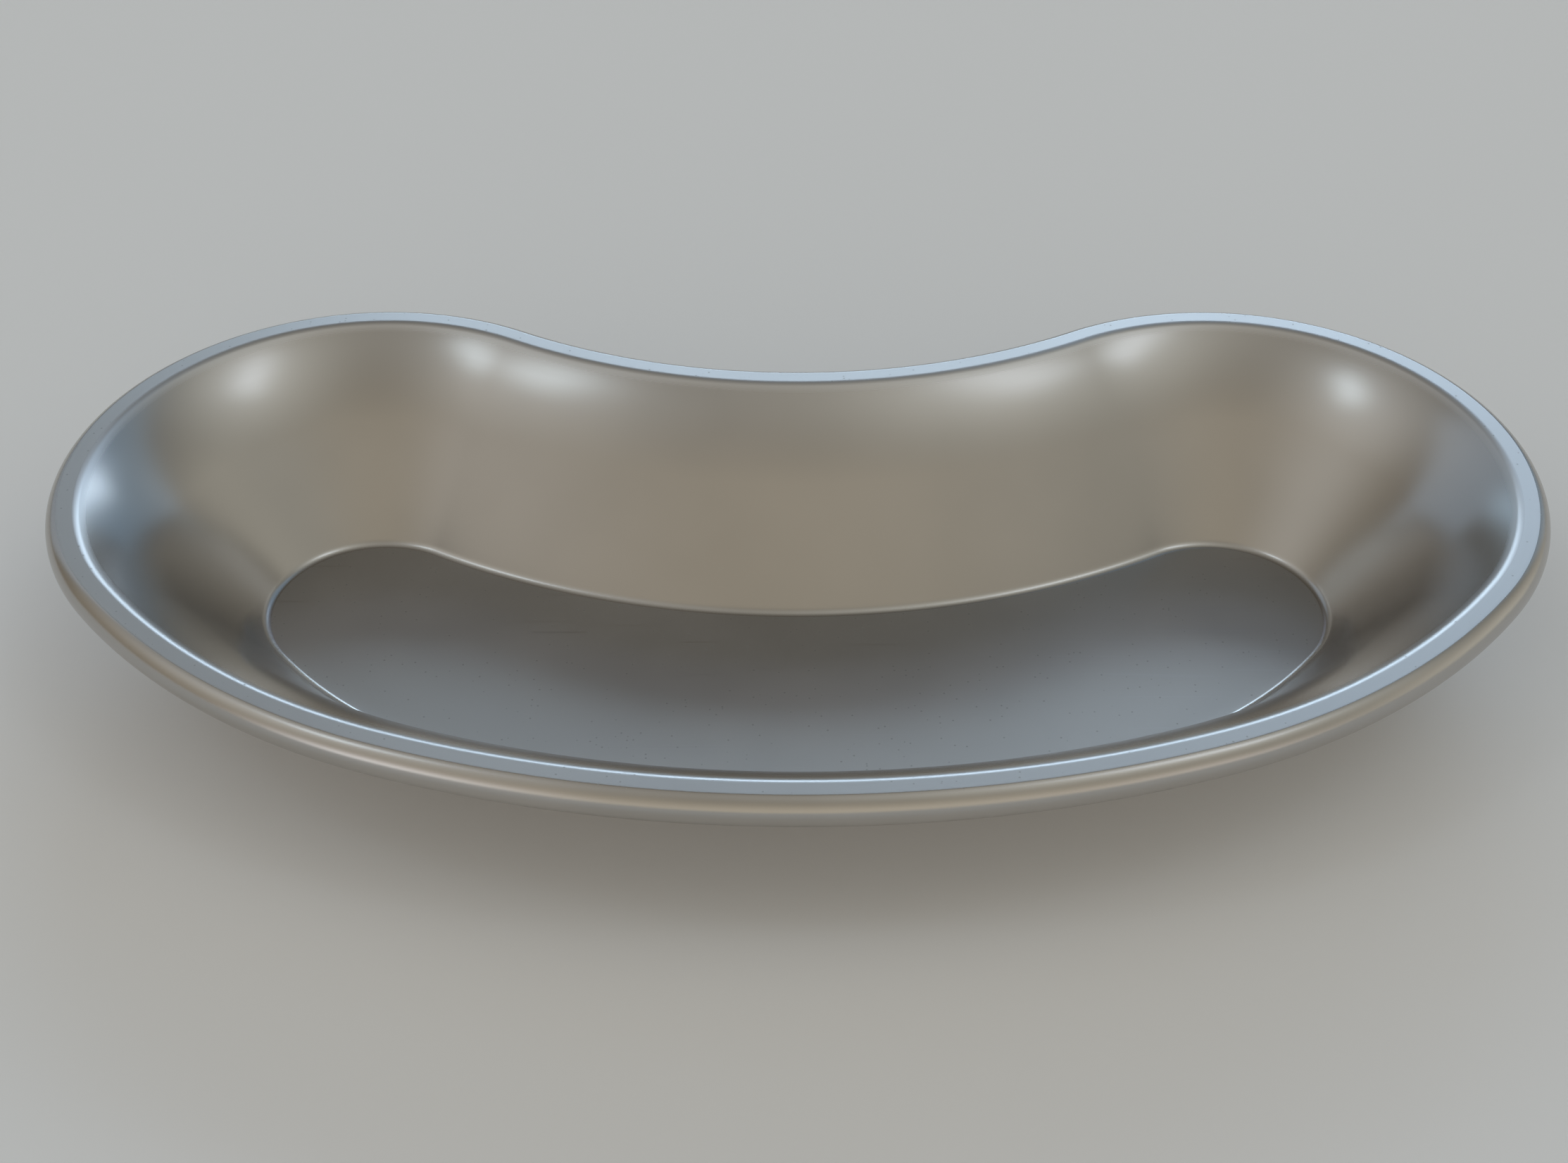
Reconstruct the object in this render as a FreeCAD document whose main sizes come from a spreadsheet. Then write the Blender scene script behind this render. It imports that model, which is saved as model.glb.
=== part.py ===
import FreeCAD, Part
import math
import os

import Sketcher

# Kidney dish in pressed stainless steel, with its rim curled over a stiffening wire.
# The dish lies along X. Its long convex side faces -Y and its hollow waist faces +Y.
# The origin is under the middle of the dish, on the face that it rests on.

# Driving dimensions, in millimetres and degrees, as (alias, value, meaning).
DIMENSIONS = (
    ("rim_length", 250.0, "length over the rim's flat top"),
    ("rim_depth", 127.5, "front to back over the rim's flat top"),
    ("front_radius", 196.0, "long convex side, in plan"),
    ("side_radius", 108.0, "between the convex side and a lobe, in plan"),
    ("lobe_radius", 50.0, "rounded end, in plan"),
    ("waist_radius", 104.0, "hollow side, in plan"),
    ("dish_height", 31.3, "resting face to the rim's flat top"),
    ("sheet", 0.8, "thickness of the sheet"),
    ("rim_flat", 2.5, "rim's outer edge to the lip, across the flat top"),
    ("edge_radius", 0.5, "rounding at the flat top's outer edge"),
    ("lip_radius", 2.5, "rounding from the flat top down into the dish"),
    ("lip_turn", 32.0, "slope of the wall at the foot of the lip, in degrees"),
    ("wall_radius", 49.0, "upper wall, in section"),
    ("floor_inset", 32.0, "rim's outer edge to the flat floor"),
    ("floor_radius", 2.2, "inside corner between wall and floor"),
    ("floor_margin", 3.0, "strip of floor that is swept with the wall"),
    ("curl_radius", 3.25, "outside of the curled edge, in section"),
    ("curl_inset", 1.05, "rim's outer edge to the middle of the curl"),
    ("curl_drop", 3.08, "flat top down to the middle of the curl"),
    ("curl_end", 20.0, "where the curl's raw edge stops, in degrees above level"),
    ("wire_radius", 2.1, "stiffening wire, in section"),
)

START, END, CENTRE = 1, 2, 3
VERTICAL_AXIS = -2
ORIGIN = (-1, 1)
UP = FreeCAD.Vector(0, 0, 1)


class Size(float):
    """A number that remembers the spreadsheet expression it stands for."""

    def __new__(cls, value, text):
        size = super().__new__(cls, value)
        size.text = text
        return size

    def __add__(self, other):
        return Size(float(self) + float(other), f"({self.text} + {text_of(other)})")

    def __sub__(self, other):
        return Size(float(self) - float(other), f"({self.text} - {text_of(other)})")

    def __mul__(self, other):
        return Size(float(self) * float(other), f"({self.text} * {text_of(other)})")


def text_of(number):
    return number.text if isinstance(number, Size) else str(number)


class Sizes:
    """The spreadsheet's cells, as attributes."""

    def __init__(self, doc):
        sheet = doc.addObject("Spreadsheet::Sheet", "dims")
        for row, (alias, value, meaning) in enumerate(DIMENSIONS, start=1):
            sheet.set(f"A{row}", meaning)
            sheet.set(f"B{row}", str(value))
            sheet.setAlias(f"B{row}", alias)
        doc.recompute()
        for alias, _, _ in DIMENSIONS:
            setattr(self, alias, Size(sheet.get(alias), f"dims.{alias}"))


# Sketching helpers

def origin_plane(body, role):
    """One of the body's own origin planes, such as XY_Plane."""
    return next(plane for plane in body.Origin.OriginFeatures if plane.Role == role)


def new_sketch(body, name, role):
    """An empty sketch on one of the body's origin planes."""
    sketch = body.newObject("Sketcher::SketchObject", name)
    sketch.AttachmentSupport = [(origin_plane(body, role), "")]
    sketch.MapMode = "FlatFace"
    return sketch


def line(start, end):
    return Part.LineSegment(FreeCAD.Vector(*start, 0), FreeCAD.Vector(*end, 0))


def arc(centre, radius, first_angle, last_angle):
    """Arc drawn anticlockwise between two angles in degrees."""
    circle = Part.Circle(FreeCAD.Vector(*centre, 0), UP, radius)
    return Part.ArcOfCircle(circle, math.radians(first_angle), math.radians(last_angle))


def at_angle(centre, distance, angle):
    """The point at a distance and an angle in degrees from a centre."""
    turn = math.radians(angle)
    return (centre[0] + distance * math.cos(turn), centre[1] + distance * math.sin(turn))


def angle_to(start, end):
    return math.degrees(math.atan2(end[1] - start[1], end[0] - start[0]))


def meeting_ends(first, second):
    """Which end of each piece of geometry touches the other."""
    ends = ((START, "StartPoint"), (END, "EndPoint"))
    for first_end, first_name in ends:
        for second_end, second_name in ends:
            gap = getattr(first, first_name) - getattr(second, second_name)
            if gap.Length < 1e-6:
                return first_end, second_end
    raise RuntimeError("two neighbours in a sketch don't meet")


def join_loop(sketch, sharp_corners=()):
    """Join each piece to the next, tangent except at the sharp corners after these pieces."""
    pieces = sketch.Geometry
    for index, piece in enumerate(pieces):
        following = (index + 1) % len(pieces)
        ends = meeting_ends(piece, pieces[following])
        kind = "Coincident" if index in sharp_corners else "Tangent"
        sketch.addConstraint(Sketcher.Constraint(kind, index, ends[0], following, ends[1]))


def drive(sketch, name, size, kind, *where):
    """Add a dimension and bind it to the spreadsheet."""
    index = sketch.addConstraint(Sketcher.Constraint(kind, *where, float(size)))
    sketch.renameConstraint(index, name)
    sketch.setExpression(f"Constraints.{name}", size.text)


def drive_angle(sketch, name, size, *where):
    """Add an angle in degrees and bind it to the spreadsheet."""
    index = sketch.addConstraint(Sketcher.Constraint("Angle", *where, math.radians(size)))
    sketch.renameConstraint(index, name)
    sketch.setExpression(f"Constraints.{name}", f"{size.text} * 1 deg")


# The dish's outline in plan

def circles_meet(first_centre, first_radius, second_centre, second_radius):
    """The point to the left of the way from the first centre to the second where they cross."""
    reach = math.dist(first_centre, second_centre)
    along = (first_radius**2 - second_radius**2 + reach**2) / (2 * reach)
    across = math.sqrt(first_radius**2 - along**2)
    ahead = angle_to(first_centre, second_centre)
    return at_angle(at_angle(first_centre, along, ahead), across, ahead + 90)


def mirrored(piece):
    """The same arc on the other side of the dish's plane of symmetry."""
    first, last = math.degrees(piece.FirstParameter), math.degrees(piece.LastParameter)
    return arc((-piece.Center.x, piece.Center.y), piece.Radius, 180 - last, 180 - first)


def kidney_arcs(sizes, inset):
    """The outline a constant distance inside the rim's outer edge, from the front's middle."""
    lobe = (sizes.rim_length * 0.5 - sizes.lobe_radius, sizes.rim_depth * 0.5 - sizes.lobe_radius)
    front = (0, sizes.front_radius - sizes.rim_depth * 0.5)
    lobe_to_side = sizes.side_radius - sizes.lobe_radius
    side_to_front = sizes.front_radius - sizes.side_radius
    side = circles_meet(lobe, lobe_to_side, front, side_to_front)
    waist_to_lobe = sizes.waist_radius + sizes.lobe_radius
    waist = (0, lobe[1] + math.sqrt(waist_to_lobe**2 - lobe[0]**2))

    front_end = angle_to(front, side)
    side_end = angle_to(side, lobe)
    lobe_end = angle_to(lobe, waist)
    right_half = (
        arc(front, sizes.front_radius - inset, -90, front_end),
        arc(side, sizes.side_radius - inset, front_end, side_end),
        arc(lobe, sizes.lobe_radius - inset, side_end, lobe_end),
    )
    back = arc(waist, sizes.waist_radius + inset, 360 - lobe_end, 180 + lobe_end)
    left_half = [mirrored(piece) for piece in reversed(right_half)]
    return [*right_half, back, *left_half]


def kidney_sketch(body, name, sizes, inset):
    """A sketch of the outline a constant distance inside the rim's outer edge."""
    front, side, lobe, back, left_lobe, left_side, left_front = range(7)
    sketch = new_sketch(body, name, "XY_Plane")
    sketch.addGeometry(kidney_arcs(sizes, inset), False)
    join_loop(sketch)
    sketch.addConstraint([
        Sketcher.Constraint("Equal", front, left_front),
        Sketcher.Constraint("Equal", side, left_side),
        Sketcher.Constraint("Equal", lobe, left_lobe),
        Sketcher.Constraint("PointOnObject", front, START, VERTICAL_AXIS),
        Sketcher.Constraint("PointOnObject", front, CENTRE, VERTICAL_AXIS),
        Sketcher.Constraint("PointOnObject", back, CENTRE, VERTICAL_AXIS),
        Sketcher.Constraint("Horizontal", lobe, CENTRE, left_lobe, CENTRE),
    ])
    lobe_spacing = sizes.rim_length - sizes.lobe_radius * 2
    drive(sketch, "front", sizes.front_radius - inset, "Radius", front)
    drive(sketch, "side", sizes.side_radius - inset, "Radius", side)
    drive(sketch, "lobe", sizes.lobe_radius - inset, "Radius", lobe)
    drive(sketch, "back", sizes.waist_radius + inset, "Radius", back)
    drive(sketch, "lobe_spacing", lobe_spacing, "DistanceX", left_lobe, CENTRE, lobe, CENTRE)
    drive(sketch, "lobe_behind", sizes.rim_depth * 0.5 - sizes.lobe_radius,
          "DistanceY", *ORIGIN, lobe, CENTRE)
    drive(sketch, "front_ahead", sizes.rim_depth * 0.5 - inset,
          "DistanceY", front, START, *ORIGIN)
    return sketch


# The pressed sheet's section, drawn at the middle of the front, where Y runs into the dish

def wall_slope(wall_centre, wall_radius, floor_centre, floor_radius):
    """Slope in degrees of the straight wall that touches the upper wall and the floor corner."""
    reach = math.dist(wall_centre, floor_centre)
    fall = 90 - angle_to(wall_centre, floor_centre)
    return fall - math.degrees(math.acos((wall_radius + floor_radius) / reach))


def section_pieces(sizes):
    """The section's outline, from the floor up the inside, round the curl and back below."""
    sheet = sizes.sheet
    top = sizes.dish_height
    rim_edge = sizes.rim_depth * -0.5
    flat_end = rim_edge + sizes.rim_flat
    lip = (flat_end, top - sizes.lip_radius)
    lip_foot = 90 - sizes.lip_turn
    wall = at_angle(lip, sizes.lip_radius - sizes.wall_radius, lip_foot)
    floor = (rim_edge + sizes.floor_inset, sheet + sizes.floor_radius)
    slope = wall_slope(wall, sizes.wall_radius, floor, sizes.floor_radius)
    wall_foot = 90 - slope
    floor_end = rim_edge + sizes.floor_inset + sizes.floor_margin

    curl = (rim_edge + sizes.curl_inset, top - sizes.curl_drop)
    inner_curl = sizes.curl_radius - sheet
    edge_rise = sizes.curl_drop - sizes.edge_radius
    edge_reach = math.sqrt((sizes.curl_radius - sizes.edge_radius)**2 - edge_rise**2)
    edge = (curl[0] - edge_reach, top - sizes.edge_radius)
    curl_start = angle_to(curl, edge)
    curl_end = sizes.curl_end + 360
    inner_start = 180 - math.degrees(math.asin((sizes.curl_drop - sheet) / inner_curl))

    def wall_line(below):
        """The straight wall, on the inside of the dish or a sheet's thickness below it."""
        upper = at_angle(wall, sizes.wall_radius - below, wall_foot)
        return line(upper, at_angle(floor, sizes.floor_radius + below, wall_foot + 180))

    def wall_arcs(below):
        """The floor corner, upper wall and lip, on the inside or a thickness below it."""
        return (
            arc(floor, sizes.floor_radius + below, wall_foot + 180, 270),
            arc(wall, sizes.wall_radius - below, wall_foot, lip_foot),
            arc(lip, sizes.lip_radius - below, lip_foot, 90),
        )

    floor_corner, upper_wall, lip_top = wall_arcs(0)
    floor_underside, wall_underside, lip_underside = wall_arcs(sheet)
    return [
        line((floor_end, sheet), (floor[0], sheet)),
        floor_corner,
        wall_line(0),
        upper_wall,
        lip_top,
        line((flat_end, top), (edge[0], top)),
        arc(edge, sizes.edge_radius, 90, curl_start),
        arc(curl, sizes.curl_radius, curl_start, curl_end),
        line(at_angle(curl, inner_curl, curl_end), at_angle(curl, sizes.curl_radius, curl_end)),
        arc(curl, inner_curl, inner_start, curl_end),
        line(at_angle(curl, inner_curl, inner_start), (flat_end, top - sheet)),
        lip_underside,
        wall_underside,
        wall_line(sheet),
        floor_underside,
        line((floor[0], 0), (floor_end, 0)),
        line((floor_end, 0), (floor_end, sheet)),
    ]


def section_sketch(body, sizes):
    """The section of the wall and the curled rim, with every size bound to the spreadsheet."""
    (floor, floor_corner, _, upper_wall, lip, flat, edge, curl, raw_edge, inner_curl, flat_below,
     lip_below, wall_below, _, corner_below, floor_below, floor_cut) = range(17)
    half_depth = sizes.rim_depth * 0.5
    sketch = new_sketch(body, "WallAndRimSection", "YZ_Plane")
    sketch.addGeometry(section_pieces(sizes), False)
    join_loop(sketch, (curl, raw_edge, inner_curl, floor_below, floor_cut))
    sketch.addConstraint([
        Sketcher.Constraint("Horizontal", floor),
        Sketcher.Constraint("Horizontal", flat),
        Sketcher.Constraint("Horizontal", flat_below),
        Sketcher.Constraint("Horizontal", floor_below),
        Sketcher.Constraint("Vertical", floor_cut),
        Sketcher.Constraint("Coincident", corner_below, CENTRE, floor_corner, CENTRE),
        Sketcher.Constraint("Coincident", wall_below, CENTRE, upper_wall, CENTRE),
        Sketcher.Constraint("Coincident", lip_below, CENTRE, lip, CENTRE),
        Sketcher.Constraint("Coincident", inner_curl, CENTRE, curl, CENTRE),
        Sketcher.Constraint("PointOnObject", curl, CENTRE, raw_edge),
        Sketcher.Constraint("PointOnObject", floor_below, START, -1),
    ])
    drive(sketch, "floor_corner", sizes.floor_radius, "Radius", floor_corner)
    drive(sketch, "upper_wall", sizes.wall_radius, "Radius", upper_wall)
    drive(sketch, "lip", sizes.lip_radius, "Radius", lip)
    drive(sketch, "lip_below", sizes.lip_radius - sizes.sheet, "Radius", lip_below)
    drive(sketch, "edge", sizes.edge_radius, "Radius", edge)
    drive(sketch, "curl", sizes.curl_radius, "Radius", curl)
    drive(sketch, "inner_curl", sizes.curl_radius - sizes.sheet, "Radius", inner_curl)
    drive_angle(sketch, "lip_turn", sizes.lip_turn, lip)
    drive_angle(sketch, "curl_end", sizes.curl_end, raw_edge)
    drive(sketch, "sheet", sizes.sheet, "DistanceY", *ORIGIN, floor, END)
    drive(sketch, "top", sizes.dish_height, "DistanceY", *ORIGIN, flat, START)
    drive(sketch, "curl_middle", sizes.dish_height - sizes.curl_drop,
          "DistanceY", *ORIGIN, curl, CENTRE)
    drive(sketch, "curl_inset", half_depth - sizes.curl_inset,
          "DistanceX", curl, CENTRE, *ORIGIN)
    drive(sketch, "flat_end", half_depth - sizes.rim_flat, "DistanceX", flat, START, *ORIGIN)
    drive(sketch, "floor_start", half_depth - sizes.floor_inset,
          "DistanceX", floor, END, *ORIGIN)
    drive(sketch, "floor_cut", half_depth - sizes.floor_inset - sizes.floor_margin,
          "DistanceX", floor, START, *ORIGIN)
    return sketch


# The two pieces

def sweep(body, name, profile, path):
    """Carry a closed section round a closed outline."""
    pipe = body.newObject("PartDesign::AdditivePipe", name)
    pipe.Profile = profile
    pipe.Spine = path
    return pipe


def make_dish(doc, sizes):
    """One pressing: floor, wall and curled rim."""
    body = doc.addObject("PartDesign::Body", "dish_shell")
    no_inset = Size(0, "0")
    outline = kidney_sketch(body, "RimOutline", sizes, no_inset)
    outline.setExpression("AttachmentOffset.Base.z", "dims.dish_height")
    section = section_sketch(body, sizes)
    doc.recompute()
    sweep(body, "WallAndRim", section, outline)
    doc.recompute()

    floor_outline = kidney_sketch(body, "FloorOutline", sizes, sizes.floor_inset + sizes.floor_margin)
    floor = body.newObject("PartDesign::Pad", "Floor")
    floor.Profile = floor_outline
    floor.setExpression("Length", "dims.sheet")
    return body


def make_wire(doc, sizes):
    """The round wire that the rim is curled over."""
    body = doc.addObject("PartDesign::Body", "rim_wire")
    middle = sizes.dish_height - sizes.curl_drop
    path = kidney_sketch(body, "WirePath", sizes, sizes.curl_inset)
    path.setExpression("AttachmentOffset.Base.z", middle.text)

    section = new_sketch(body, "WireSection", "YZ_Plane")
    start = (sizes.curl_inset - sizes.rim_depth * 0.5, middle)
    section.addGeometry(Part.Circle(FreeCAD.Vector(*start, 0), UP, sizes.wire_radius), False)
    drive(section, "wire", sizes.wire_radius, "Radius", 0)
    drive(section, "height", middle, "DistanceY", *ORIGIN, 0, CENTRE)
    drive(section, "inset", sizes.rim_depth * 0.5 - sizes.curl_inset,
          "DistanceX", 0, CENTRE, *ORIGIN)
    doc.recompute()
    sweep(body, "Wire", section, path)
    return body


def check(doc, bodies):
    """Stop if a feature failed, a sketch is loose or a piece isn't one good solid."""
    for item in doc.Objects:
        if "Invalid" in item.State or "Error" in item.State:
            raise RuntimeError(f"{item.Label} failed: {item.State}")
        if item.TypeId == "Sketcher::SketchObject" and not item.FullyConstrained:
            raise RuntimeError(f"{item.Label} isn't fully constrained")
    for body in bodies:
        shape = body.Shape
        if shape.isNull() or not shape.isValid() or len(shape.Solids) != 1:
            raise RuntimeError(f"{body.Label} isn't one valid solid")


def main():
    doc = FreeCAD.newDocument("kidney_dish")
    sizes = Sizes(doc)
    bodies = [make_dish(doc, sizes), make_wire(doc, sizes)]
    doc.recompute()
    check(doc, bodies)
    os.makedirs("parts", exist_ok=True)
    for body in bodies:
        body.Shape.exportStep(os.path.join("parts", f"{body.Label}.step"))
        box = body.Shape.optimalBoundingBox(True, False)
        print(f"{body.Label}: {box.XLength:.2f} x {box.YLength:.2f} x {box.ZLength:.2f} mm, "
              f"{body.Shape.Volume / 1000:.2f} cm3")


main()
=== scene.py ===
import math

import bpy
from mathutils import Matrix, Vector

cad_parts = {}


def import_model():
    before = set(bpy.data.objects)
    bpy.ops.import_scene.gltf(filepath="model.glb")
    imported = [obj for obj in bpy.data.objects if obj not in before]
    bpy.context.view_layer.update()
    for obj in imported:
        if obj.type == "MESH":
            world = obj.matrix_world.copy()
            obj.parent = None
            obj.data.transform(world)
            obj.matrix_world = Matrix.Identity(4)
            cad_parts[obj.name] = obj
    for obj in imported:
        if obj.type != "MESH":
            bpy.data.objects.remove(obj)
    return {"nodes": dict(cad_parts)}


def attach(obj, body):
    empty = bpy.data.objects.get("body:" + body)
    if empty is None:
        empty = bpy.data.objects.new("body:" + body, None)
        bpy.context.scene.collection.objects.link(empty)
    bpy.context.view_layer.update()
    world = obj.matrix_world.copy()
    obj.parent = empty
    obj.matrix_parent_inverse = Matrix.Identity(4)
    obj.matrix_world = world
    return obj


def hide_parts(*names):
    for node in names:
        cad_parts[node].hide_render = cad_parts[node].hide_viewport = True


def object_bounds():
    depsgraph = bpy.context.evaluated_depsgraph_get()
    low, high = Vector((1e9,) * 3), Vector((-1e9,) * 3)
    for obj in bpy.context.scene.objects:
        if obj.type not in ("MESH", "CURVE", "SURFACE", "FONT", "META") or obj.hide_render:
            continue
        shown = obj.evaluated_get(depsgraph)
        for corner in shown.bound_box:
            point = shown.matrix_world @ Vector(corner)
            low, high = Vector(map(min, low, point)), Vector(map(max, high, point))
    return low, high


# A kidney dish in satin stainless steel on a plain pale floor. Units are metres. The dish lies
# along X with its long convex side towards -Y, where the camera stands.

# The camera looks at a point near the dish's middle, level with the rim.
AIM_RIGHT = -0.0023
AIM_BEHIND = -0.0146
CAMERA_DISTANCE = 0.4085
CAMERA_ELEVATION = 39.5
CAMERA_TURN = 0.04
SENSOR_WIDTH = 36.0
LENS = 58.1

STAGE_SIZE = 8.0
# The stage lies a hair under the dish, so that no two faces share one plane.
STAGE_GAP = 0.00005

# Sizes of the pressing, the same as in the CAD model.
MM = 0.001
RIM_LENGTH, RIM_DEPTH = 250 * MM, 127.5 * MM
FRONT_RADIUS, SIDE_RADIUS, LOBE_RADIUS, WAIST_RADIUS = 196 * MM, 108 * MM, 50 * MM, 104 * MM
DISH_HEIGHT = 31.3 * MM
SHEET = 0.8 * MM
RIM_FLAT, EDGE_RADIUS = 2.5 * MM, 0.5 * MM
LIP_RADIUS, LIP_TURN = 2.5 * MM, 32
WALL_RADIUS = 49 * MM
FLOOR_INSET, FLOOR_RADIUS = 32 * MM, 2.2 * MM
CURL_RADIUS, CURL_INSET, CURL_DROP, CURL_END = 3.25 * MM, 1.05 * MM, 3.08 * MM, 20

# Where the lip's rougher finish and painted highlight end, in from the edge and down from the top,
# and how near the top a point has to be to count as level.
LIP_END, LIP_FALL = 3.9 * MM, 0.6 * MM
LEVEL_WITHIN = 0.01 * MM

# How far apart the mesh's sections are, the insets of the rings on its floor, and the angle
# between two faces that is shaded as an edge.
STATION_SPACING = 1.4 * MM
FLOOR_RINGS = (34 * MM, 36.5 * MM, 39.5 * MM, 42.5 * MM, 45.5 * MM)
SHARP_ANGLE = 35


# The pressing's mesh

def at_angle(centre, distance, angle):
    """The point at a distance and an angle in degrees from a centre."""
    turn = math.radians(angle)
    return (centre[0] + distance * math.cos(turn), centre[1] + distance * math.sin(turn))


def angle_to(start, end):
    return math.degrees(math.atan2(end[1] - start[1], end[0] - start[0]))


def arc_points(centre, radius, first, last, step):
    """Points along an arc, either way round, with about a step in degrees between them."""
    count = max(2, math.ceil(abs(last - first) / step))
    return [at_angle(centre, radius, first + (last - first) * i / count)
            for i in range(count + 1)]


def line_points(start, end, count):
    """Points along a line, closer together near its ends, which keeps its shading flat."""
    shares = [(1 - math.cos(math.pi * i / count)) / 2 for i in range(count + 1)]
    return [(start[0] + (end[0] - start[0]) * share, start[1] + (end[1] - start[1]) * share)
            for share in shares]


def circles_meet(first_centre, first_radius, second_centre, second_radius):
    """The point to the left of the way from the first centre to the second where they cross."""
    reach = math.dist(first_centre, second_centre)
    along = (first_radius**2 - second_radius**2 + reach**2) / (2 * reach)
    across = math.sqrt(first_radius**2 - along**2)
    ahead = angle_to(first_centre, second_centre)
    return at_angle(at_angle(first_centre, along, ahead), across, ahead + 90)


def stations():
    """Points round the rim's outer edge from the front's middle, each with its way inwards."""
    lobe = (RIM_LENGTH / 2 - LOBE_RADIUS, RIM_DEPTH / 2 - LOBE_RADIUS)
    front = (0, FRONT_RADIUS - RIM_DEPTH / 2)
    side = circles_meet(lobe, SIDE_RADIUS - LOBE_RADIUS, front, FRONT_RADIUS - SIDE_RADIUS)
    waist = (0, lobe[1] + math.sqrt((WAIST_RADIUS + LOBE_RADIUS)**2 - lobe[0]**2))
    front_end, side_end, lobe_end = angle_to(front, side), angle_to(side, lobe), angle_to(lobe, waist)
    right_half = []
    for centre, radius, first, last, inwards in (
            (front, FRONT_RADIUS, -90, front_end, -1),
            (side, SIDE_RADIUS, front_end, side_end, -1),
            (lobe, LOBE_RADIUS, side_end, lobe_end, -1),
            (waist, WAIST_RADIUS, 180 + lobe_end, 270, 1)):
        step = math.degrees(STATION_SPACING / radius)
        for x, y in arc_points(centre, radius, first, last, step)[:-1]:
            way = (inwards * (x - centre[0]) / radius, inwards * (y - centre[1]) / radius)
            right_half.append(((x, y), way))
    back = ((0, waist[1] - WAIST_RADIUS), (0, -1))
    left_half = [((-x, y), (-u, v)) for (x, y), (u, v) in reversed(right_half[1:])]
    return [*right_half, back, *left_half]


def section():
    """The sheet's section as (inset, height), from the floor up the inside and back below."""
    top = DISH_HEIGHT
    lip = (RIM_FLAT, top - LIP_RADIUS)
    lip_foot = 90 - LIP_TURN
    wall = at_angle(lip, LIP_RADIUS - WALL_RADIUS, lip_foot)
    floor = (FLOOR_INSET, SHEET + FLOOR_RADIUS)
    fall = 90 - angle_to(wall, floor)
    slope = fall - math.degrees(math.acos((WALL_RADIUS + FLOOR_RADIUS) / math.dist(wall, floor)))
    wall_foot = 90 - slope
    curl = (CURL_INSET, top - CURL_DROP)
    inner_curl = CURL_RADIUS - SHEET
    edge_rise = CURL_DROP - EDGE_RADIUS
    edge = (curl[0] - math.sqrt((CURL_RADIUS - EDGE_RADIUS)**2 - edge_rise**2), top - EDGE_RADIUS)
    curl_start = angle_to(curl, edge)
    inner_start = 180 - math.degrees(math.asin((CURL_DROP - SHEET) / inner_curl))
    curl_end = CURL_END + 360

    def side(below):
        """Floor corner, straight wall, upper wall and lip, on the inside or below the sheet."""
        corner = arc_points(floor, FLOOR_RADIUS + below, 270, wall_foot + 180, 6)
        upper = arc_points(wall, WALL_RADIUS - below, wall_foot, lip_foot, 1.5)
        lip_arc = arc_points(lip, LIP_RADIUS - below, lip_foot, 90, 3)
        return [*corner, *line_points(corner[-1], upper[0], 12)[1:], *upper[1:], *lip_arc[1:]]

    return [
        *side(0),
        *line_points((RIM_FLAT, top), (edge[0], top), 6)[1:],
        *arc_points(edge, EDGE_RADIUS, 90, curl_start, 8)[1:],
        *arc_points(curl, CURL_RADIUS, curl_start, curl_end, 6)[1:],
        *arc_points(curl, inner_curl, curl_end, inner_start, 10),
        *side(SHEET)[::-1],
    ]


def mark_zone(mesh, name, inside):
    """Give each vertex a value that materials can read: 1 inside a zone and 0 outside it."""
    values = [1.0 if value else 0.0 for value in inside]
    mesh.attributes.new(name, "FLOAT", "POINT").data.foreach_set("value", values)


def pressed_dish():
    """The whole pressing as one closed mesh of quads, with a flat face inside each floor ring."""
    inside = [(inset, SHEET) for inset in reversed(FLOOR_RINGS)]
    below = [(inset, 0) for inset in FLOOR_RINGS]
    profile = [*inside, *section(), *below]
    rim = stations()
    vertices = [(x + u * inset, y + v * inset, height)
                for (x, y), (u, v) in rim for inset, height in profile]
    rows, columns = len(rim), len(profile)
    faces = []
    for row in range(rows):
        this, following = row * columns, (row + 1) % rows * columns
        for column in range(columns - 1):
            faces.append((this + column, this + column + 1,
                          following + column + 1, following + column))
    faces.append([row * columns for row in range(rows)])
    faces.append([row * columns + columns - 1 for row in reversed(range(rows))])
    mesh = bpy.data.meshes.new("kidney_dish")
    mesh.from_pydata(vertices, [], faces)
    mesh.shade_smooth()
    mesh.set_sharp_from_angle(angle=math.radians(SHARP_ANGLE))
    mark_zone(mesh, "flat", [height > DISH_HEIGHT - LEVEL_WITHIN and inset <= RIM_FLAT
                             for inset, height in profile] * rows)
    mark_zone(mesh, "lip", [height > DISH_HEIGHT - LIP_FALL and RIM_FLAT < inset < LIP_END
                            for inset, height in profile] * rows)
    dish = bpy.data.objects.new("kidney_dish", mesh)
    bpy.context.scene.collection.objects.link(dish)
    return dish


# Node helpers

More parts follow.
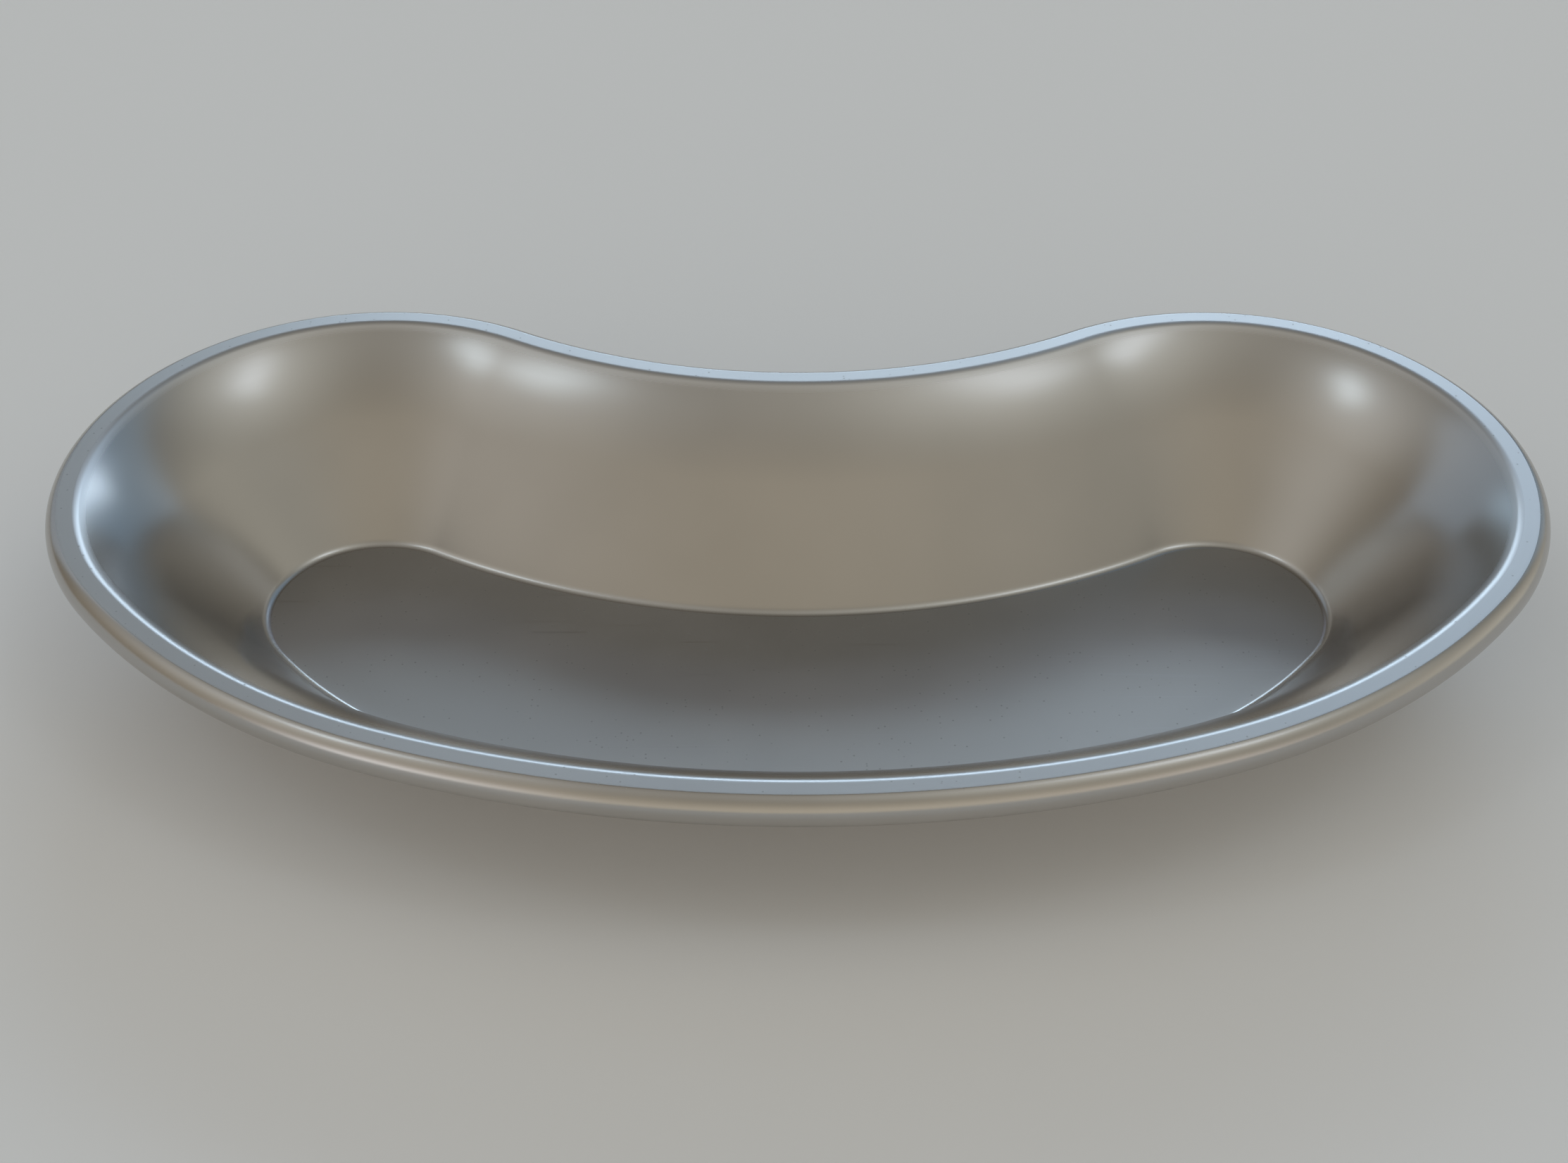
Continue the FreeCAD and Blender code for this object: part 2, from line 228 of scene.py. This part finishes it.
class Nodes:
    """Adds nodes to one material or world, with their inputs given by name or number."""

    def __init__(self, tree):
        self.tree = tree

    def add(self, kind, inputs=None, **settings):
        node = self.tree.nodes.new(kind)
        for name, value in settings.items():
            setattr(node, name, value)
        for key, value in (inputs or {}).items():
            self.put(node.inputs[key], value)
        return node

    def put(self, socket, value):
        if isinstance(value, bpy.types.NodeSocket):
            self.tree.links.new(value, socket)
        else:
            socket.default_value = value

    def math(self, operation, first, second=0.0, third=0.0):
        inputs = {0: first, 1: second, 2: third}
        return self.add("ShaderNodeMath", inputs, operation=operation).outputs[0]

    def noise(self, vector, scale, detail=2.0, roughness=0.5):
        inputs = {"Vector": vector, "Scale": scale, "Detail": detail, "Roughness": roughness}
        return self.add("ShaderNodeTexNoise", inputs).outputs["Fac"]

    def stretch(self, vector, scale):
        node = self.add("ShaderNodeMapping", {"Vector": vector, "Scale": scale})
        return node.outputs["Vector"]

    def ramp(self, value, low, high, to_low=0.0, to_high=1.0):
        inputs = {"Value": value, "From Min": low, "From Max": high,
                  "To Min": to_low, "To Max": to_high}
        return self.add("ShaderNodeMapRange", inputs, interpolation_type="SMOOTHSTEP").outputs[0]

    def mix_colour(self, share, first, second):
        node = self.add("ShaderNodeMix", data_type="RGBA")
        self.put(node.inputs["Factor"], share)
        self.put(node.inputs[6], first)
        self.put(node.inputs[7], second)
        return node.outputs[2]

    def bump(self, height, strength, distance, normal=None):
        inputs = {"Height": height, "Strength": strength, "Distance": distance}
        if normal is not None:
            inputs["Normal"] = normal
        return self.add("ShaderNodeBump", inputs).outputs["Normal"]


def new_material(name):
    """A new material, its node helper, its shader, and the object's own coordinates."""
    material = bpy.data.materials.new(name)
    material.use_nodes = True
    nodes = Nodes(material.node_tree)
    shader = material.node_tree.nodes["Principled BSDF"]
    place = nodes.add("ShaderNodeTexCoord").outputs["Object"]
    return material, nodes, shader, place


# Materials

STEEL = (0.465, 0.447, 0.425, 1)
STEEL_PALE = (0.495, 0.475, 0.452, 1)
# Painted highlight: paler steel on the rim's flat top and lip stands in for the bright reflections
# there.
STEEL_FLAT_PAINTED_HIGHLIGHT = (0.60, 0.585, 0.565, 1)
STEEL_LIP_PAINTED_HIGHLIGHT = (0.56, 0.545, 0.53, 1)
STEEL_PIT = (0.22, 0.21, 0.20, 1)
WIRE = (0.46, 0.46, 0.45, 1)
WIRE_DARK = (0.36, 0.35, 0.34, 1)
STAGE = (0.86, 0.86, 0.87, 1)
STAGE_PALE = (0.89, 0.89, 0.90, 1)

# How many times per metre each pattern repeats.
LINE_SCALE = (12, 12, 2400)
CLOUD_SCALE = 26
GRAIN_SCALE = 2600
PIT_SCALE = 950
SCRATCH_SCALE = (22, 900, 22)
WIRE_LINE_SCALE = (20, 20, 3000)
WIRE_CLOUD_SCALE = 90
STAGE_CLOUD_SCALE = 3

# A pit's edge in shares of a cell, the share of cells with no pit, and how much of a pit's colour
# shows.
PIT_EDGE = (0.10, 0.22)
NO_PIT = 0.80
PIT_COLOUR = 0.35

# The noise values between which a scratch's edge fades in.
SCRATCH_EDGE = (0.70, 0.76)

# Heights over which the floor's finish fades out above it and the rim's fades in below the top.
FLOOR_FADE = 0.03 * MM
TOP_FADE_START, TOP_FADE_END = 0.12 * MM, 0.02 * MM

# Roughness of the bare sheet, smoothest to dullest, and what each place or mark adds to it.
SHEET_ROUGH = (0.22, 0.25)
LINE_ROUGH = 0.02
FLOOR_ROUGH = 0.20
FLAT_ROUGH = 0.14
LIP_ROUGH = 0.12
PIT_ROUGH = 0.2
HAIRLINE_ROUGH = -0.08
WIRE_ROUGH = (0.34, 0.46)

# Heights of the bumps, and how strongly each kind shows. Marks are sunk in. Grain is fainter on
# the wall and hairlines are shallower than pits, by these shares.
BUMP_HEIGHT = 0.05 * MM
LINE_BUMP = 0.04
GRAIN_BUMP = 0.08
GRAIN_ON_WALL = 0.2
MARK_BUMP = -0.3
HAIRLINE_DEPTH = 0.2
WIRE_BUMP, WIRE_BUMP_HEIGHT = 0.2, 0.1 * MM


def scratches(nodes, place, turn, seed):
    """Fine straight scratches that run one way across level faces: 1 on a scratch, 0 off it."""
    node = nodes.add("ShaderNodeMapping", {"Vector": place, "Location": (seed, seed, seed),
                                           "Rotation": (0, 0, math.radians(turn)),
                                           "Scale": SCRATCH_SCALE})
    return nodes.ramp(nodes.noise(node.outputs["Vector"], 1.0, 1.0), *SCRATCH_EDGE)


def pits(nodes, place):
    """Small round pits, in a few cells picked at random: 1 in a pit, 0 outside it."""
    cells = nodes.add("ShaderNodeTexVoronoi", {"Vector": place, "Scale": PIT_SCALE})
    pit = nodes.ramp(cells.outputs["Distance"], *PIT_EDGE, 1.0, 0.0)
    chance = nodes.add("ShaderNodeSeparateColor", {0: cells.outputs["Color"]}).outputs[0]
    return nodes.math("MULTIPLY", pit, nodes.math("GREATER_THAN", chance, NO_PIT))


def pressed_steel():
    """Satin stainless sheet: smooth on the walls, duller on the rim and floor, finely pitted; the
    rim's flat and lip are painted paler steel as a highlight.
    """
    material, nodes, shader, place = new_material("satin_pressed_steel")
    height = nodes.add("ShaderNodeSeparateXYZ", {0: place}).outputs["Z"]
    on_floor = nodes.ramp(height, SHEET, SHEET + FLOOR_FADE, 1.0, 0.0)
    on_top = nodes.ramp(height, DISH_HEIGHT - TOP_FADE_START, DISH_HEIGHT - TOP_FADE_END)
    level = nodes.math("ADD", on_floor, on_top)
    on_wall = nodes.math("SUBTRACT", 1.0, level)
    on_flat = nodes.add("ShaderNodeAttribute", attribute_name="flat").outputs["Fac"]
    on_lip = nodes.add("ShaderNodeAttribute", attribute_name="lip").outputs["Fac"]

    # Polishing lines run round the wall, level with the rim, because only Z is stretched.
    lines = nodes.noise(nodes.stretch(place, LINE_SCALE), 1.0, 2.0, 0.6)
    lines = nodes.math("MULTIPLY", lines, on_wall)
    clouds = nodes.noise(place, CLOUD_SCALE, 3.0)
    grain = nodes.noise(place, GRAIN_SCALE, 2.0, 0.6)
    grain_share = nodes.math("MULTIPLY_ADD", level, 1 - GRAIN_ON_WALL, GRAIN_ON_WALL)
    grain = nodes.math("MULTIPLY", grain, grain_share)
    pit = nodes.math("MULTIPLY", pits(nodes, place), level)
    hairlines = nodes.math("MAXIMUM", scratches(nodes, place, 24, 3.1),
                           scratches(nodes, place, -52, 7.7))
    hairlines = nodes.math("MULTIPLY", hairlines, on_floor)

    colour = nodes.mix_colour(nodes.ramp(clouds, 0.35, 0.7), STEEL, STEEL_PALE)
    # Painted highlight: the rim's flat top and lip are mixed to paler steel, standing in for the
    # bright lines of reflection along the rim.
    colour = nodes.mix_colour(on_flat, colour, STEEL_FLAT_PAINTED_HIGHLIGHT)
    colour = nodes.mix_colour(on_lip, colour, STEEL_LIP_PAINTED_HIGHLIGHT)
    colour = nodes.mix_colour(nodes.math("MULTIPLY", pit, PIT_COLOUR), colour, STEEL_PIT)
    nodes.put(shader.inputs["Base Color"], colour)
    shader.inputs["Metallic"].default_value = 1.0

    rough = nodes.ramp(clouds, 0.3, 0.7, *SHEET_ROUGH)
    for where, added in ((lines, LINE_ROUGH), (on_floor, FLOOR_ROUGH), (on_flat, FLAT_ROUGH),
                         (on_lip, LIP_ROUGH), (pit, PIT_ROUGH), (hairlines, HAIRLINE_ROUGH)):
        rough = nodes.math("MULTIPLY_ADD", where, added, rough)
    nodes.put(shader.inputs["Roughness"], rough)

    normal = nodes.bump(lines, LINE_BUMP, BUMP_HEIGHT)
    normal = nodes.bump(grain, GRAIN_BUMP, BUMP_HEIGHT, normal)
    marks = nodes.math("MULTIPLY_ADD", hairlines, HAIRLINE_DEPTH, pit)
    nodes.put(shader.inputs["Normal"], nodes.bump(marks, MARK_BUMP, BUMP_HEIGHT, normal))
    return material


def wire_steel():
    """Drawn wire, dull inside the curl."""
    material, nodes, shader, place = new_material("drawn_wire_steel")
    lines = nodes.noise(nodes.stretch(place, WIRE_LINE_SCALE), 1.0, 2.0)
    clouds = nodes.noise(place, WIRE_CLOUD_SCALE, 3.0)
    nodes.put(shader.inputs["Base Color"], nodes.mix_colour(clouds, WIRE_DARK, WIRE))
    shader.inputs["Metallic"].default_value = 1.0
    nodes.put(shader.inputs["Roughness"], nodes.ramp(lines, 0.3, 0.7, *WIRE_ROUGH))
    nodes.put(shader.inputs["Normal"], nodes.bump(lines, WIRE_BUMP, WIRE_BUMP_HEIGHT))
    return material


def stage_floor():
    """Pale matt studio floor, faintly uneven."""
    material, nodes, shader, place = new_material("studio_floor")
    clouds = nodes.noise(place, STAGE_CLOUD_SCALE, 3.0)
    nodes.put(shader.inputs["Base Color"], nodes.mix_colour(clouds, STAGE, STAGE_PALE))
    shader.inputs["Roughness"].default_value = 0.9
    shader.inputs["Specular IOR Level"].default_value = 0.2
    return material


def finish_node(node, material):
    """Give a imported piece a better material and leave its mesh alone."""
    for slot in node.material_slots:
        slot.link = "OBJECT"
        slot.material = material


# Studio lights, all part of the sky. Azimuth is in degrees from straight behind the dish, round
# by its right. A panel's edges fade over PANEL_EDGE degrees.
PANELS = (
    # name, first and last azimuth, first and last elevation, colour
    ("window_behind", -12, 18, 20, 30, (3.2, 4.2, 5.2)),
    ("window_behind_right", 18, 33, 22, 31, (1.7, 2.1, 2.55)),
    ("window_behind_left", -27, -12, 17, 27, (0.5, 0.75, 1.0)),
    ("above_window", -15, 35, 30, 38, (0.28, 0.34, 0.48)),
    ("right_above", 97, 116, 55, 71, (0.85, 0.98, 1.15)),
    ("left_above", -113, -97, 52, 64, (1.15, 1.4, 1.6)),
    ("behind_left", -60, -27, 3, 47, (0.22, 0.30, 0.40)),
    ("behind_right", 18, 55, 5, 57, (0.10, 0.20, 0.32)),
)
PANEL_EDGE = 3.0
GLOWS = (
    # name, azimuth, elevation, degrees from its middle to half brightness, colour
    ("right_above_wide", 108, 63, 20, (0.62, 0.65, 0.63)),
    ("left_above_wide", 260, 50, 23, (0.47, 0.50, 0.52)),
    ("front_left_low", 223, 0, 13, (1.1, 1.15, 1.3)),
    ("front_right_low", 137, 0, 13, (0.38, 0.36, 0.38)),
    ("right_low", 83, 0, 31, (0.65, 0.64, 0.57)),
    ("front", 170, 0, 41, (0.63, 0.59, 0.50)),
    ("left_low", 250, 0, 70, (0.33, 0.285, 0.215)),
    ("overhead", 0, 90, 15, (0.05, 0.04, 0.03)),
)


# The stage

def glow_share(nodes, direction, azimuth, elevation, spread):
    """How bright a round soft light is towards each direction, from 0 to 1."""
    turn, rise = math.radians(azimuth), math.radians(elevation)
    towards = (math.sin(turn) * math.cos(rise), math.cos(turn) * math.cos(rise), math.sin(rise))
    nearness = nodes.add("ShaderNodeVectorMath", {0: direction, 1: towards},
                         operation="DOT_PRODUCT").outputs["Value"]
    sharpness = math.log(2) / (1 - math.cos(math.radians(spread)))
    fall = nodes.math("MULTIPLY_ADD", nearness, sharpness, -sharpness)
    return nodes.math("EXPONENT", fall)


def between(nodes, angle, first, last):
    """1 between two angles in degrees and 0 outside them, with soft edges."""
    soft, first, last = math.radians(PANEL_EDGE / 2), math.radians(first), math.radians(last)
    above = nodes.ramp(angle, first - soft, first + soft)
    return nodes.math("MULTIPLY", above, nodes.ramp(angle, last - soft, last + soft, 1.0, 0.0))


def add_lights():
    """One sky that adds up the panels and the soft lights."""
    world = bpy.data.worlds.new("studio")
    world.use_nodes = True
    bpy.context.scene.world = world
    nodes = Nodes(world.node_tree)
    direction = nodes.add("ShaderNodeTexCoord").outputs["Generated"]
    x, y, z = nodes.add("ShaderNodeSeparateXYZ", {0: direction}).outputs
    azimuth, elevation = nodes.math("ARCTAN2", x, y), nodes.math("ARCSINE", z)
    lights = []
    for name, left, right, bottom, top, colour in PANELS:
        across, upwards = between(nodes, azimuth, left, right), between(nodes, elevation, bottom, top)
        lights.append((name, colour, nodes.math("MULTIPLY", across, upwards)))
    for name, *place, colour in GLOWS:
        lights.append((name, colour, glow_share(nodes, direction, *place)))
    total = (0.0, 0.0, 0.0)
    for name, colour, share in lights:
        total = nodes.add("ShaderNodeVectorMath", {0: colour, 1: share, 2: total},
                          operation="MULTIPLY_ADD", label=name).outputs["Vector"]
    nodes.put(world.node_tree.nodes["Background"].inputs["Color"], total)


def add_floor():
    bpy.ops.mesh.primitive_plane_add(size=STAGE_SIZE, location=(0, 0, -STAGE_GAP))
    floor = bpy.context.object
    floor.name = "studio_floor"
    floor.data.materials.append(stage_floor())


def add_camera(low, high):
    """Look down at the dish from the front."""
    aim = Vector(((low[0] + high[0]) / 2 + AIM_RIGHT, (low[1] + high[1]) / 2 + AIM_BEHIND, high[2]))
    rise, turn = math.radians(CAMERA_ELEVATION), math.radians(CAMERA_TURN)
    away = Vector((math.sin(turn) * math.cos(rise), -math.cos(turn) * math.cos(rise),
                   math.sin(rise)))
    camera = bpy.data.objects.new("camera", bpy.data.cameras.new("camera"))
    bpy.context.scene.collection.objects.link(camera)
    camera.location = aim + away * CAMERA_DISTANCE
    camera.rotation_euler = (math.pi / 2 - rise, 0, turn)
    camera.data.sensor_width = SENSOR_WIDTH
    camera.data.lens = LENS
    bpy.context.scene.camera = camera


def main():
    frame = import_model()
    packed_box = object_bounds()
    low, high = packed_box
    dish = pressed_dish()
    dish.data.materials.append(pressed_steel())
    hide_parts("dish_shell")
    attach(dish, "root")
    finish_node(frame["nodes"]["rim_wire"], wire_steel())
    add_floor()
    add_lights()
    add_camera(low, high)
    bpy.context.scene.view_settings.view_transform = "Standard"


main()
